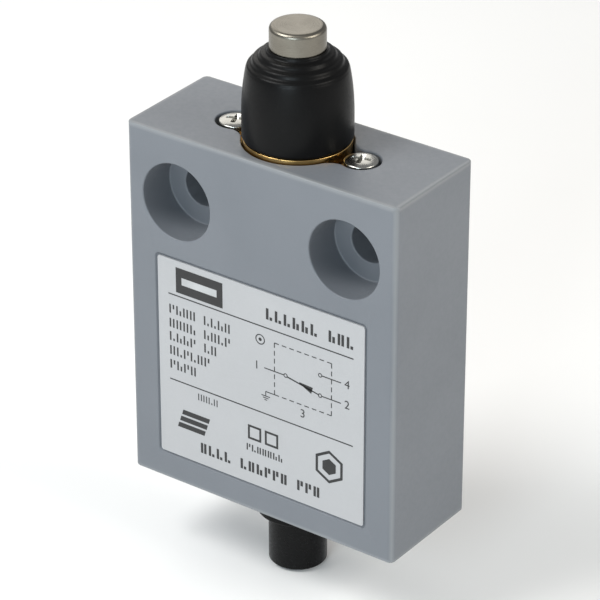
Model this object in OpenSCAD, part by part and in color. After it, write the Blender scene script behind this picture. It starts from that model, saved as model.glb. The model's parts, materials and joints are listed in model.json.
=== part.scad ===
// Compact pre-wired plunger limit switch.
// The origin is midway between the two mounting holes, on the mounting face at the back.
// +X runs to the right, +Y out of the mounting face and +Z up, along the plunger.

/* [Housing] */
// Width of the housing
housing_w = 40; // [39:0.5:60]
// Depth of the housing, from its front to its mounting face
housing_d = 16; // [16:0.5:24]
// Height of the housing
housing_h = 49; // [48:0.5:70]
// Height of the top face above the mounting holes
top_above_holes = 9; // [9:0.5:14]
// Radius of the four upright edges
edge_r = 0.8; // [0.4:0.1:2]
// Thickness of the wall behind the rating plate
front_wall = 1.5; // [1.2:0.1:2]
// Thickness of the wall that the cable passes through
floor_wall = 3.8; // [3:0.1:5]
// Metal between the mounting holes and the switch chamber
roof_wall = 1.2; // [1:0.1:2]

/* [Mounting holes] */
// Distance between the mounting holes
hole_pitch = 25; // [24:0.5:28]
// Diameter of the mounting holes, for M5 screws
hole_d = 5.2; // [4.2:0.1:5.5]
// Diameter of the recess for each screw head
counterbore_d = 10.2; // [8:0.1:10.5]
// Depth of the recess for each screw head
counterbore_depth = 5.3; // [4:0.1:6]

/* [Rating plate] */
// Width of the rating plate
plate_w = 31.2; // [28:0.2:36]
// Height of the rating plate
plate_h = 28; // [24:0.2:30]
// Thickness of the rating plate
plate_t = 0.25; // [0.1:0.05:0.4]
// Depth of the shallow recess that holds it
plate_recess = 0.3; // [0.2:0.05:0.5]
// Height of the plate's lower edge above the bottom of the housing
plate_rise = 3.9; // [2:0.1:6]
// Radius of the plate's corners
plate_corner_r = 0.35; // [0.2:0.05:1.5]
// Gap left round the plate in its recess
plate_gap = 0.3; // [0.1:0.05:0.5]

/* [Plunger] */
// Diameter of the plunger
plunger_d = 6.9; // [6:0.1:7.2]
// Height of the plunger's tip above the mounting holes, at rest
plunger_tip = 24.2; // [23.5:0.1:30]
// Travel from rest to the operating point
pretravel = 1.8; // [1:0.1:2]
// Travel from the operating point to the end stop
overtravel = 3; // [2:0.1:3.2]
// Radial clearance of a sliding fit
slide_fit = 0.05; // [0.02:0.01:0.08]
// Length of plunger that stands out of the boot
plunger_show = 2.9; // [2:0.1:3.2]
// Width of the collar that the return spring pushes
collar_w = 0.75; // [0.6:0.05:0.9]

/* [Brass bushing] */
// Radius of the round flange under the boot
flange_r = 6.7; // [6.4:0.1:7]
// Height of the round flange above the top face
flange_proud = 0.5; // [0.2:0.1:1]
// Thickness of the two ears under the screw heads
ear_t = 1.2; // [1:0.1:1.5]
// Distance of each flange screw from the plunger's axis
ear_x = 9.3; // [9:0.1:9.5]
// Wall of the barrel around the return spring
barrel_wall = 0.8; // [0.6:0.1:0.9]
// Wall of the neck that guides the plunger inside the boot
neck_wall = 1.2; // [1.1:0.1:1.4]
// Length of the neck above the flange
neck_h = 5.6; // [4.5:0.1:6]

/* [Boot] */
// Outer radius of the boot near its foot
boot_r = 6.8; // [6.5:0.1:7]
// Outer radius of the boot at its shoulder
boot_shoulder_r = 6.25; // [5.8:0.05:6.4]
// Height of the sloping shoulder
boot_shoulder_h = 2.7; // [2.4:0.1:3.4]
// Thickness of the rubber
boot_wall = 0.9; // [0.7:0.1:1]

/* [Basic switch] */
// Width of the basic switch inside
switch_w = 27.8; // [27:0.1:28]
// Height of the basic switch
switch_h = 15.9; // [15.5:0.1:16.5]
// Thickness of the basic switch
switch_d = 10.3; // [9.8:0.1:10.5]
// Distance between the basic switch's own mounting holes
switch_pitch = 22.2; // [22:0.1:22.4]
// Thickness of its case
case_wall = 1.15; // [1:0.05:1.3]
// Travel of its button over the plunger's full travel
button_travel = 0.6; // [0.4:0.1:0.7]

/* [Cable] */
// Diameter of the cable
cable_d = 7.5; // [7:0.1:8]
// Length of cable below the housing
cable_out = 10.4; // [8:0.2:20]
// Diameter of each insulated core
core_d = 1.7; // [1.4:0.1:1.7]
// Diameter of the grommet's outer flange
grommet_d = 10.6; // [10.2:0.1:12]
// Height of the grommet's outer flange
grommet_h = 3; // [2:0.1:4]

/* [Back cover] */
// Thickness of the back cover
cover_t = 1.5; // [1.2:0.1:1.8]
// Thickness of its gasket
gasket_t = 0.5; // [0.4:0.1:0.8]
// Width of the ledge at each side of the chamber
cover_ledge = 4.6; // [4.4:0.1:5]
// Width of the ledge above and below the chamber
cover_lip = 1.5; // [1.2:0.1:1.6]

/* [Hidden] */
$fn = 64;

// A cut runs past the face that it opens by this much.
past = 1;
// Gap between still pieces that sit against each other.
seat_gap = 0.02;
// Gap around a piece that drops into its place.
drop_gap = 0.15;
// Gap between pieces that move past each other without a fit.
move_gap = 0.1;
// Gap between the plunger's collar and the barrel.
collar_gap = 0.2;
// A tapped hole is this much deeper than its screw.
thread_run = 0.4;

// Housing levels
top_z = top_above_holes;
bottom_z = top_z - housing_h;
axis_y = -housing_d / 2;
front_y = -housing_d;

// Switch chamber
chamber_gap = 0.3;
chamber_w = switch_w + 2 * chamber_gap;
chamber_top = -counterbore_d / 2 - roof_wall;
chamber_floor = bottom_z + floor_wall;
chamber_front = front_y + plate_recess + front_wall;
cover_inset = 0.1;
cover_in_y = -cover_inset - cover_t;
seat_y = cover_in_y - gasket_t;

// Back cover and its screws
cover_w = chamber_w + 2 * cover_ledge;
cover_top = chamber_top + cover_lip;
cover_bottom = chamber_floor - cover_lip;
cover_corner_r = 1.5;
cover_screw_x = chamber_w / 2 + cover_ledge / 2 + 0.4;
cover_screw_inset = 2.2;
cover_screw_z = [chamber_top - cover_screw_inset, chamber_floor + cover_screw_inset];
cover_screw_r = 1;
cover_head_r = 1.9;
cover_head_h = 0.95;
cover_screw_len = 6;

// Flange screws, M2 pan heads
flange_screw_r = 1;
flange_head_r = 2.1;
flange_head_h = 1.5;
flange_screw_len = 5;
head_proud = 0.25;

// Bushing levels
ear_top = top_z + head_proud - flange_head_h;
ear_bottom = ear_top - ear_t;
flange_gasket_t = 0.5;
pocket_floor = ear_bottom - flange_gasket_t;
flange_top = top_z + flange_proud;
neck_top = flange_top + neck_h;
ear_pocket_r = flange_head_r + 0.4;
ear_r = ear_pocket_r - drop_gap;
neck_half_w = 2.1;
neck_fillet_r = 3;
neck_bite = 0.03;
barrel_bottom = -4.7;
guide_r = plunger_d / 2 + slide_fit;
collar_r = plunger_d / 2 + collar_w;
spring_bore_r = collar_r + collar_gap;
barrel_r = spring_bore_r + barrel_wall;
neck_r = guide_r + neck_wall;
stop_z = ear_bottom - 0.35;

// Plunger levels
travel = pretravel + overtravel;
collar_h = 1.2;
collar_top = stop_z - move_gap;
collar_bottom = collar_top - collar_h;
plunger_bore_r = 2.4;
plunger_bore_top = plunger_tip - 8;
tip_edge_r = 0.35;
seal_groove_z = flange_top + neck_h / 2;
seal_r = 0.5;
boot_groove_depth = 0.3;
boot_top = plunger_tip - plunger_show;
boot_grip_h = 1.2;

// Inner plunger
inner_head_r = plunger_bore_r - slide_fit;
inner_head_bottom = collar_bottom + 1.2;
inner_head_h = 2;
inner_pin_r = 1.2;
pin_hole_r = 1.6;

// Basic switch levels
switch_top = chamber_top - 0.2;
switch_bottom = switch_top - switch_h;
button_show = button_travel + 0.2;
button_top = switch_top + button_show;
button_r = 1.5;
switch_front = axis_y - switch_d / 2;
switch_back = axis_y + switch_d / 2;
switch_cover_t = 1.5;
well_top = switch_top - 1.5;
well_bottom = switch_bottom + 4.8;
well_w = switch_w - 2.4;
peg_r = 1.5;
peg_z = switch_bottom + 2.4;

// Contact arm: turns about its anchor over the button's travel
arm_pivot = [-10.5, well_bottom + 3.6];
arm_tip_x = 10.2;
arm_rest_deg = 2.9;
arm_t = 0.3;
arm_w = 4;
contact_r = 1.4;
contact_h = 0.5;
moving_contact_h = 1.5;
arm_len = arm_tip_x - arm_pivot[0];
arm_swing_deg = 3.3;
tip_rest_z = arm_pivot[1] + arm_len * sin(arm_rest_deg);
tip_down_z = arm_pivot[1] + arm_len * sin(arm_rest_deg - arm_swing_deg);
nc_face_z = tip_rest_z + moving_contact_h / 2 + move_gap;
no_face_z = tip_down_z - moving_contact_h / 2 - move_gap;
button_foot_r = button_r + 0.8;
button_foot = arm_pivot[1] + (button_foot_r - arm_pivot[0]) * tan(arm_rest_deg) + arm_t / 2 + move_gap;

// Terminals
strip_t = 0.6;
strip_w = 3.6;
terminal_end = switch_bottom - 5;
com_x = -8.6;
no_x = 1;
nc_x = 8.9;
nc_wall_x = 12;
no_step_x = 6;
well_foot_z = well_bottom + strip_t / 2 + seat_gap;
com_foot_z = arm_pivot[1] - arm_t / 2 - move_gap - strip_t / 2;
no_arm_z = no_face_z - contact_h - strip_t / 2 - seat_gap;
nc_arm_z = nc_face_z + contact_h + strip_t / 2 + seat_gap;

// Cable and grommet
cable_r = cable_d / 2;
jacket_top = chamber_floor + 3.9;
cable_end = bottom_z - cable_out;
grommet_wall = 0.85;
grommet_grip = 1;
grommet_neck_r = cable_r + grommet_wall;
grommet_in_r = grommet_neck_r + grommet_grip;
grommet_in_h = 1.8;
clamp_h = 1.3;
clamp_wall = 0.7;
// Four cores lie in a square, and the jacket's wall is what they leave.
core_gap = 0.05;
core_slack = 0.45;
core_r = core_d / 2;
core_ring = core_r * sqrt(2) + core_gap;
jacket_wall = cable_r - core_ring - core_r - core_slack;

// Ground lug and screw on a boss inside the chamber
ground_x = 10.5;
ground_z = chamber_floor + 5.7;
ground_boss_r = 2.8;
ground_boss_h = 2.5;
ground_face_y = chamber_front + ground_boss_h;
ground_screw_r = 1.25;
ground_head_r = 2.3;
ground_head_h = 1.4;
lug_t = 0.6;
lug_r = 2.6;
lug_barrel_r = 1.35;
lug_barrel_len = 3;
lug_barrel_x = ground_x - lug_r - lug_barrel_len + 0.3;
lug_barrel_y = ground_face_y + lug_barrel_r;

// The stretch of each core above the jacket: points are [x, y, z] from the jacket's top end,
// on the plunger's axis.
white_route = [[-1, 0.9, 0.8], [-1.8, 0.9, 1.7], [-3.2, 0.9, 2.3], [-5, 0.9, 2.8], [-6.6, 0.9, 3.5],
    [-7.3, 0.9, 4.3]];
black_route = [[-0.85, -0.9, 1], [-0.6, -0.9, 2], [-0.3, -0.9, 3], [-0.2, -0.9, 4]];
red_route = [[1, 0.9, 0.8], [1.8, 0.9, 1.7], [3.3, 0.9, 2.3], [5.2, 0.9, 2.8], [6.9, 0.9, 3.5],
    [7.6, 0.9, 4.3]];
ground_route = [[1, -1.1, 0.5], [1.3, -1.5, 1], [1.9, -1.9, 1.5], [2.8, -2.2, 1.75]];
core_side = 0.9;
core_bend = 1.2;
core_tail = 0.3;
core_lap = 2.6;

// A box with four round upright edges, centred on X, from its lowest to its highest corner
module upright_box(w, y0, y1, z0, z1, r) {
    for (side = [-1, 1]) {
        for (y = [y0 + r, y1 - r]) {
            translate([side * (w / 2 - r), y, z0]) cylinder(r = r, h = z1 - z0);
        }
    }
    translate([-w / 2 + r, y0, z0]) cube([w - 2 * r, y1 - y0, z1 - z0]);
    translate([-w / 2, y0 + r, z0]) cube([w, y1 - y0 - 2 * r, z1 - z0]);
}

// A plate facing Y, centred on X, with four round corners
module face_plate(w, z0, z1, y0, y1, r) {
    for (x = [-w / 2 + r, w / 2 - r]) {
        for (z = [z0 + r, z1 - r]) {
            translate([x, y0, z]) rotate([-90, 0, 0]) cylinder(r = r, h = y1 - y0);
        }
    }
    translate([-w / 2 + r, y0, z0]) cube([w - 2 * r, y1 - y0, z1 - z0]);
    translate([-w / 2, y0, z0 + r]) cube([w, y1 - y0, z1 - z0 - 2 * r]);
}

// A round bar or hole along Y, from y0 to y1
module bar_y(x, z, r, y0, y1) {
    translate([x, y0, z]) rotate([-90, 0, 0]) cylinder(r = r, h = y1 - y0);
}

// A round bar or hole along Z, on the plunger's axis unless x says otherwise
module bar_z(r, z0, z1, x = 0) {
    translate([x, axis_y, z0]) cylinder(r = r, h = z1 - z0);
}

// Where the two flange screws stand
module at_flange_screws() {
    for (side = [-1, 1]) translate([side * ear_x, axis_y, 0]) children();
}

// Where the four cover screws stand
module at_cover_screws() {
    for (x = [-cover_screw_x, cover_screw_x]) {
        for (z = cover_screw_z) translate([x, 0, z]) children();
    }
}

// A pan head with a cross recess, its underside at z = 0
module pan_head(r, h) {
    edge = h * 0.28;
    slot_w = r * 0.22;
    slot_l = r * 1.15;
    difference() {
        rotate_extrude() polygon(concat([[0, 0], [r, 0], [r, h - edge]],
            [for (a = [15:15:90]) [r - edge * 1.2 * (1 - cos(a)), h - edge + edge * sin(a)]],
            [[0, h]]));
        for (turn = [0, 90]) {
            rotate([0, 0, turn]) translate([-slot_l / 2, -slot_w / 2, h * 0.45]) cube([slot_l, slot_w, h]);
        }
    }
}

// A slab with the outline of the two-ear flange; grow widens it all round
module flange_slab(h, grow, ear) {
    reach = flange_r + neck_fillet_r - neck_bite;
    centre_y = neck_half_w + neck_fillet_r - neck_bite;
    centre_x = sqrt(reach * reach - centre_y * centre_y);
    share = (flange_r + grow) / reach;
    linear_extrude(h) {
        circle(r = flange_r + grow);
        square([2 * ear_x, 2 * (neck_half_w + grow)], center = true);
        for (x = [-ear_x, ear_x]) translate([x, 0]) circle(r = ear);
    }
    // The four hollow curves between the round flange and its ears
    linear_extrude(h) {
        for (side = [0, 1]) mirror([side, 0]) for (flip = [0, 1]) mirror([0, flip]) difference() {
            polygon([[0, 0], [centre_x * share, centre_y * share], [centre_x, centre_y], [centre_x, 0]]);
            translate([centre_x, centre_y]) circle(r = neck_fillet_r - grow);
        }
    }
}

module housing() {
    color([0.53, 0.56, 0.60]) difference() {
        union() {
            difference() {
                upright_box(housing_w, front_y, 0, bottom_z, top_z, edge_r);
                translate([-chamber_w / 2, chamber_front, chamber_floor])
                    cube([chamber_w, housing_d, chamber_top - chamber_floor]);
            }
            // Pegs and pads that hold the basic switch
            for (x = [-switch_pitch / 2, switch_pitch / 2]) {
                bar_y(x, peg_z, peg_r + 1, chamber_front - front_wall / 2, switch_front - seat_gap);
                bar_y(x, peg_z, peg_r - seat_gap, chamber_front, switch_back - switch_cover_t);
            }
            bar_y(ground_x, ground_z, ground_boss_r, chamber_front - front_wall / 2, ground_face_y);
        }
        // Mounting holes and the recesses for their screw heads
        for (x = [-hole_pitch / 2, hole_pitch / 2]) {
            bar_y(x, 0, hole_d / 2, front_y - past, past);
            bar_y(x, 0, counterbore_d / 2, front_y - past, front_y + counterbore_depth);
        }
        // Recess for the rating plate
        face_plate(plate_w + 2 * plate_gap, bottom_z + plate_rise - plate_gap,
            bottom_z + plate_rise + plate_h + plate_gap, front_y - past, front_y + plate_recess,
            plate_corner_r + plate_gap);
        // Seat for the back cover and its gasket
        face_plate(cover_w + 2 * drop_gap, cover_bottom - drop_gap, cover_top + drop_gap,
            seat_y, past, cover_corner_r + drop_gap);
        at_cover_screws() bar_y(0, 0, cover_screw_r + seat_gap, -cover_screw_len - thread_run, 0);
        // Pocket and bore for the bushing
        translate([0, axis_y, pocket_floor]) flange_slab(top_z, drop_gap, ear_pocket_r);
        bar_z(barrel_r + slide_fit, barrel_bottom, top_z + past);
        bar_z(pin_hole_r, chamber_top - past, top_z);
        bar_z(button_r + 0.5, chamber_top - past, button_top + 0.4);
        at_flange_screws() translate([0, 0, ear_top - flange_screw_len - thread_run])
            cylinder(r = flange_screw_r + seat_gap, h = top_z);
        // Hole for the cable grommet and thread for the ground screw
        bar_z(grommet_neck_r + slide_fit, bottom_z - past, chamber_floor + past);
        bar_y(ground_x, ground_z, ground_screw_r + seat_gap, chamber_front, ground_face_y + past);
    }
}

module back_cover() {
    color([0.50, 0.53, 0.57]) difference() {
        face_plate(cover_w, cover_bottom, cover_top, cover_in_y, -cover_inset, cover_corner_r);
        at_cover_screws() {
            bar_y(0, 0, cover_screw_r + drop_gap, cover_in_y - past, past);
            translate([0, -cover_inset - cover_head_h, 0]) rotate([-90, 0, 0])
                cylinder(r1 = cover_screw_r + drop_gap, r2 = cover_head_r + drop_gap,
                    h = cover_head_h + seat_gap);
        }
    }
}

module cover_gasket() {
    color([0.12, 0.12, 0.12]) difference() {
        face_plate(cover_w, cover_bottom, cover_top, seat_y + seat_gap, cover_in_y - seat_gap,
            cover_corner_r);
        face_plate(chamber_w, chamber_floor, chamber_top, seat_y - past, cover_in_y + past, drop_gap);
        at_cover_screws() bar_y(0, 0, cover_screw_r + drop_gap, seat_y - past, past);
    }
}

module cover_screws() {
    color([0.72, 0.72, 0.72]) at_cover_screws() difference() {
        union() {
            bar_y(0, 0, cover_screw_r, -cover_inset - cover_screw_len, -cover_inset - cover_head_h);
            translate([0, -cover_inset - cover_head_h, 0]) rotate([-90, 0, 0])
                cylinder(r1 = cover_screw_r, r2 = cover_head_r, h = cover_head_h - seat_gap);
        }
        for (turn = [0, 90]) rotate([0, turn, 0]) translate([0, -cover_inset, 0])
            cube([2 * cover_screw_r, cover_head_h, cover_screw_r / 2], center = true);
    }
}

module rating_plate() {
    color([0.78, 0.79, 0.80])
        face_plate(plate_w, bottom_z + plate_rise, bottom_z + plate_rise + plate_h,
            front_y + plate_recess - plate_t, front_y + plate_recess - seat_gap, plate_corner_r);
}

module flange_gasket() {
    color([0.12, 0.12, 0.12]) difference() {
        translate([0, axis_y, pocket_floor + seat_gap])
            flange_slab(flange_gasket_t - 2 * seat_gap, 0, ear_r);
        bar_z(barrel_r + slide_fit, pocket_floor - past, top_z);
        at_flange_screws() translate([0, 0, pocket_floor - past])
            cylinder(r = flange_screw_r + drop_gap, h = top_z);
    }
}

module plunger_bushing() {
    color([0.78, 0.61, 0.30]) difference() {
        union() {
            translate([0, axis_y, ear_bottom]) flange_slab(ear_t, 0, ear_r);
            bar_z(flange_r, ear_bottom, flange_top);
            bar_z(barrel_r, barrel_bottom + seat_gap, ear_top);
            bar_z(neck_r, flange_top - past, neck_top);
        }
        at_flange_screws() translate([0, 0, ear_bottom - past])
            cylinder(r = flange_screw_r + drop_gap, h = top_z);
        // Chamber for the return spring, guide for the plunger and groove for the seal
        bar_z(spring_bore_r, barrel_bottom - past, stop_z);
        bar_z(guide_r, barrel_bottom, neck_top + past);
        bar_z(guide_r + 2 * seal_r - slide_fit, seal_groove_z - seal_r - seat_gap,
            seal_groove_z + seal_r + seat_gap);
        // Groove for the foot of the boot
        difference() {
            bar_z(flange_r + past, flange_top, flange_top + boot_grip_h);
            bar_z(neck_r - boot_groove_depth, flange_top - past, flange_top + 2 * boot_grip_h);
        }
    }
}

module flange_screws() {
    color([0.78, 0.77, 0.74]) at_flange_screws() {
        translate([0, 0, ear_top + seat_gap]) pan_head(flange_head_r, flange_head_h);
        translate([0, 0, ear_top - flange_screw_len])
            cylinder(r = flange_screw_r, h = flange_screw_len + 2 * seat_gap);
    }
}

// Rubber boot: a foot bead in the bushing's groove, a tapered wall, a stepped shoulder and a
// lip in the plunger's groove
module boot() {
    foot = flange_top + seat_gap;
    shoulder = boot_top - boot_shoulder_h;
    lip_r = plunger_d / 2 + 0.25;
    lip_in = plunger_d / 2 - boot_groove_depth + seat_gap;
    foot_in = neck_r - boot_groove_depth + seat_gap;
    bead_h = boot_grip_h - 2 * seat_gap;
    // The shoulder is an arc that is pulled in towards a cone
    function round_in(a) = pow(cos(a), 2.4);
    function round_up(a) = pow(sin(a), 1.3);
    outer = concat([[boot_r - 0.25, foot], [boot_r, foot + 0.5], [boot_r, foot + 2.4],
        [(boot_r + boot_shoulder_r) / 2 + 0.05, (foot + shoulder) / 2 + 1], [boot_shoulder_r, shoulder]],
        [for (a = [15:15:90]) [lip_r + (boot_shoulder_r - lip_r) * round_in(a),
            shoulder + boot_shoulder_h * round_up(a)]]);
    inner = concat([[lip_in, boot_top], [lip_in, boot_top - boot_grip_h + 2 * seat_gap],
        [plunger_d / 2 + 0.3, boot_top - boot_grip_h]],
        [for (a = [75:-15:0]) [lip_r + (boot_shoulder_r - boot_wall - lip_r) * round_in(a),
            shoulder + (boot_shoulder_h - boot_grip_h) * round_up(a)]],
        [[boot_r - boot_wall, foot + 2.4], [boot_r - boot_wall, foot + bead_h], [foot_in, foot + bead_h],
        [foot_in, foot]]);
    color([0.09, 0.09, 0.09]) translate([0, axis_y, 0]) rotate_extrude() polygon(concat(outer, inner));
}

module plunger() {
    r = plunger_d / 2;
    color([0.70, 0.69, 0.66]) translate([0, axis_y, 0]) difference() {
        rotate_extrude() polygon(concat(
            [[0, collar_bottom], [collar_r, collar_bottom], [collar_r, collar_top], [r, collar_top],
            [r, boot_top - boot_grip_h], [r - boot_groove_depth, boot_top - boot_grip_h],
            [r - boot_groove_depth, boot_top], [r, boot_top]],
            [for (a = [0:15:90]) [r - tip_edge_r * (1 - cos(a)), plunger_tip - tip_edge_r * (1 - sin(a))]],
            [[0, plunger_tip]]));
        translate([0, 0, collar_bottom - past])
            cylinder(r = plunger_bore_r, h = plunger_bore_top - collar_bottom + past);
    }
}

module plunger_seal() {
    color([0.10, 0.10, 0.10]) translate([0, axis_y, seal_groove_z])
        rotate_extrude() translate([guide_r + seal_r - slide_fit / 2, 0])
            circle(r = seal_r - slide_fit / 2, $fn = 32);
}

// A closed coil spring on the plunger's axis that fills the height from z0 to z1
module coil_spring(mean_r, wire_r, z0, z1, turns) {
    sides = 8;
    steps_a_turn = 16;
    steps = turns * steps_a_turn;
    rise = z1 - z0 - 2 * wire_r;
    points = [for (i = [0:steps]) let (turn = 360 * i / steps_a_turn, z = z0 + wire_r + rise * i / steps)
        for (j = [0:sides - 1]) let (a = 360 * j / sides, out = mean_r + wire_r * cos(a))
            [out * cos(turn), out * sin(turn), z + wire_r * sin(a)]];
    walls = [for (i = [0:steps - 1]) for (j = [0:sides - 1]) let (k = (j + 1) % sides)
        [i * sides + j, (i + 1) * sides + j, (i + 1) * sides + k, i * sides + k]];
    ends = [[for (j = [0:sides - 1]) j], [for (j = [sides - 1:-1:0]) steps * sides + j]];
    translate([0, axis_y, 0]) polyhedron(points, concat(walls, ends));
}

module return_spring() {
    color([0.62, 0.62, 0.62])
        coil_spring((spring_bore_r + plunger_bore_r) / 2 + 0.2, 0.3, barrel_bottom + seat_gap,
            collar_bottom - seat_gap, 5);
}

module overtravel_spring() {
    color([0.62, 0.62, 0.62])
        coil_spring(plunger_bore_r - 0.65, 0.25, inner_head_bottom + inner_head_h + seat_gap,
            plunger_bore_top - seat_gap, 8);
}

module inner_plunger() {
    color([0.70, 0.70, 0.72]) {
        bar_z(inner_head_r, inner_head_bottom, inner_head_bottom + inner_head_h);
        bar_z(inner_pin_r, button_top + seat_gap, inner_head_bottom + seat_gap);
    }
}

// The open case of the basic switch, with a well for the contacts
module switch_base() {
    color([0.16, 0.16, 0.17]) difference() {
        translate([-switch_w / 2, switch_front, switch_bottom])
            cube([switch_w, switch_d - switch_cover_t, switch_h]);
        translate([-well_w / 2, switch_front + case_wall, well_bottom])
            cube([well_w, switch_d, well_top - well_bottom]);
        bar_z(button_r + slide_fit, well_top - past, switch_top + past);
        for (x = [-switch_pitch / 2, switch_pitch / 2]) {
            bar_y(x, peg_z, peg_r, switch_front - past, switch_back);
        }
        for (x = [com_x, no_x, nc_x]) {
            translate([x - strip_t / 2 - seat_gap, axis_y - strip_w / 2 - seat_gap, switch_bottom - past])
                cube([strip_t + 2 * seat_gap, switch_d, switch_h / 2]);
        }
    }
}

module switch_cover() {
    color([0.20, 0.20, 0.21]) difference() {
        translate([-switch_w / 2, switch_back - switch_cover_t + seat_gap, switch_bottom])
            cube([switch_w, switch_cover_t - seat_gap, switch_h]);
        for (x = [-switch_pitch / 2, switch_pitch / 2]) {
            bar_y(x, peg_z, peg_r, switch_front, switch_back + past);
        }
    }
}

module switch_button() {
    color([0.75, 0.12, 0.10]) {
        bar_z(button_r, button_foot + 0.8, button_top);
        bar_z(button_foot_r, button_foot, button_foot + 1.2);
    }
}

module contact_arm() {
    color([0.80, 0.55, 0.35]) translate([arm_pivot[0], axis_y, arm_pivot[1]]) rotate([0, -arm_rest_deg, 0])
        translate([-0.7, -arm_w / 2, -arm_t / 2]) cube([arm_len + contact_r + 0.4, arm_w, arm_t]);
}

// Silver contacts above and below the arm's tip
module moving_contact() {
    reach = moving_contact_h / 2;
    color([0.82, 0.82, 0.80]) translate([arm_pivot[0], axis_y, arm_pivot[1]]) rotate([0, -arm_rest_deg, 0])
        for (z = [-reach, arm_t / 2 + seat_gap]) {
            translate([arm_len, 0, z]) cylinder(r = contact_r, h = reach - arm_t / 2 - seat_gap);
        }
}

// A curved leaf under the arm that makes it snap over
module snap_spring() {
    leaf_t = 0.2;
    leaf_w = 2;
    span = 9;
    sag = 1.3;
    start_x = 2.4;
    hang = arm_t / 2 + seat_gap;
    leaf = [for (i = [0:12]) [start_x + span * i / 12, -hang - sag * sin(180 * i / 12)]];
    color([0.80, 0.60, 0.40]) translate([arm_pivot[0], axis_y + leaf_w / 2, arm_pivot[1]])
        rotate([0, -arm_rest_deg, 0]) rotate([90, 0, 0]) linear_extrude(leaf_w)
            polygon(concat(leaf, [for (i = [12:-1:0]) leaf[i] - [0, leaf_t]]));
}

// A bent strip of sheet metal: its middle line is a path of [x, z] corners
module strip(path) {
    for (i = [0:len(path) - 2]) {
        low = [min(path[i][0], path[i + 1][0]), min(path[i][1], path[i + 1][1])];
        high = [max(path[i][0], path[i + 1][0]), max(path[i][1], path[i + 1][1])];
        translate([low[0] - strip_t / 2, axis_y - strip_w / 2, low[1] - strip_t / 2])
            cube([high[0] - low[0] + strip_t, strip_w, high[1] - low[1] + strip_t]);
    }
}

module com_terminal() {
    color([0.76, 0.62, 0.35])
        strip([[com_x, terminal_end], [com_x, com_foot_z], [arm_pivot[0] - 0.6, com_foot_z]]);
}

module no_terminal() {
    color([0.76, 0.62, 0.35])
        strip([[no_x, terminal_end], [no_x, well_foot_z], [no_step_x, well_foot_z], [no_step_x, no_arm_z],
            [arm_tip_x + 1, no_arm_z]]);
}

module nc_terminal() {
    color([0.76, 0.62, 0.35])
        strip([[nc_x, terminal_end], [nc_x, well_foot_z], [nc_wall_x + 0.3, well_foot_z],
            [nc_wall_x + 0.3, nc_arm_z], [arm_tip_x - 2, nc_arm_z]]);
}

module no_contact() {
    color([0.82, 0.82, 0.80]) bar_z(contact_r, no_face_z - contact_h, no_face_z, arm_tip_x);
}

module nc_contact() {
    color([0.82, 0.82, 0.80]) bar_z(contact_r, nc_face_z, nc_face_z + contact_h, arm_tip_x);
}

module cable_grommet() {
    color([0.09, 0.09, 0.09]) difference() {
        union() {
            bar_z(grommet_d / 2, bottom_z - grommet_h, bottom_z - seat_gap);
            bar_z(grommet_neck_r, bottom_z - grommet_h, chamber_floor + grommet_in_h);
            bar_z(grommet_in_r, chamber_floor + seat_gap, chamber_floor + grommet_in_h);
        }
        bar_z(cable_r + seat_gap, bottom_z - grommet_h - past, chamber_floor + grommet_in_h + past);
    }
}

module cable_clamp() {
    low = chamber_floor + grommet_in_h + seat_gap;
    color([0.70, 0.70, 0.70]) difference() {
        bar_z(cable_r + clamp_wall, low, low + clamp_h);
        bar_z(cable_r + seat_gap, low - past, low + clamp_h + past);
    }
}

module cable_jacket() {
    color([0.08, 0.08, 0.08]) difference() {
        bar_z(cable_r, cable_end, jacket_top);
        bar_z(cable_r - jacket_wall, cable_end - past, jacket_top + past);
    }
}

// A round core swept through its points; each ring lies across the way the core runs
module core(points) {
    sides = 10;
    last = len(points) - 1;
    function unit(v) = v / norm(v);
    rings = [for (i = [0:last])
        let (way = unit(points[min(i + 1, last)] - points[max(i - 1, 0)]),
            side = unit(cross([0, 1, 0], way)), up = cross(way, side))
        for (j = [0:sides - 1]) let (a = 360 * j / sides)
            points[i] + core_r * (cos(a) * side + sin(a) * up)];
    walls = [for (i = [0:last - 1]) for (j = [0:sides - 1]) let (k = (j + 1) % sides)
        [i * sides + j, (i + 1) * sides + j, (i + 1) * sides + k, i * sides + k]];
    ends = [[for (j = [0:sides - 1]) j], [for (j = [sides - 1:-1:0]) last * sides + j]];
    polyhedron(points = rings, faces = concat(walls, ends));
}

// A core's points in the cable: straight up one quarter of the jacket
function in_jacket(quarter) = [for (z = [cable_end, jacket_top])
    [core_ring * cos(45 + 90 * quarter), axis_y + core_ring * sin(45 + 90 * quarter), z]];
// The free stretch of a core, moved to the top end of the jacket
function free_route(route) = [for (p = route) [p[0], axis_y + p[1], jacket_top + p[2]]];
// The last stretch of a core, up against the right (1) or left (-1) side of a terminal
function on_terminal(x, side, y) = let (lap = x + side * (strip_t / 2 + seat_gap + core_r))
    [for (z = [0, core_lap]) [lap, axis_y + y, terminal_end - core_tail + z]];

module core_white() {
    color([0.88, 0.88, 0.86])
        core(concat(in_jacket(1), free_route(white_route), on_terminal(com_x, 1, core_side)));
}

module core_black() {
    color([0.07, 0.07, 0.07])
        core(concat(in_jacket(2), free_route(black_route), on_terminal(no_x, -1, -core_side)));
}

module core_red() {
    color([0.70, 0.08, 0.06])
        core(concat(in_jacket(0), free_route(red_route), on_terminal(nc_x, -1, core_side)));
}

module core_ground() {
    color([0.35, 0.62, 0.15])
        core(concat(in_jacket(3), free_route(ground_route),
            [for (gap = [core_bend, seat_gap]) [lug_barrel_x - gap, lug_barrel_y, ground_z]]));
}

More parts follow.
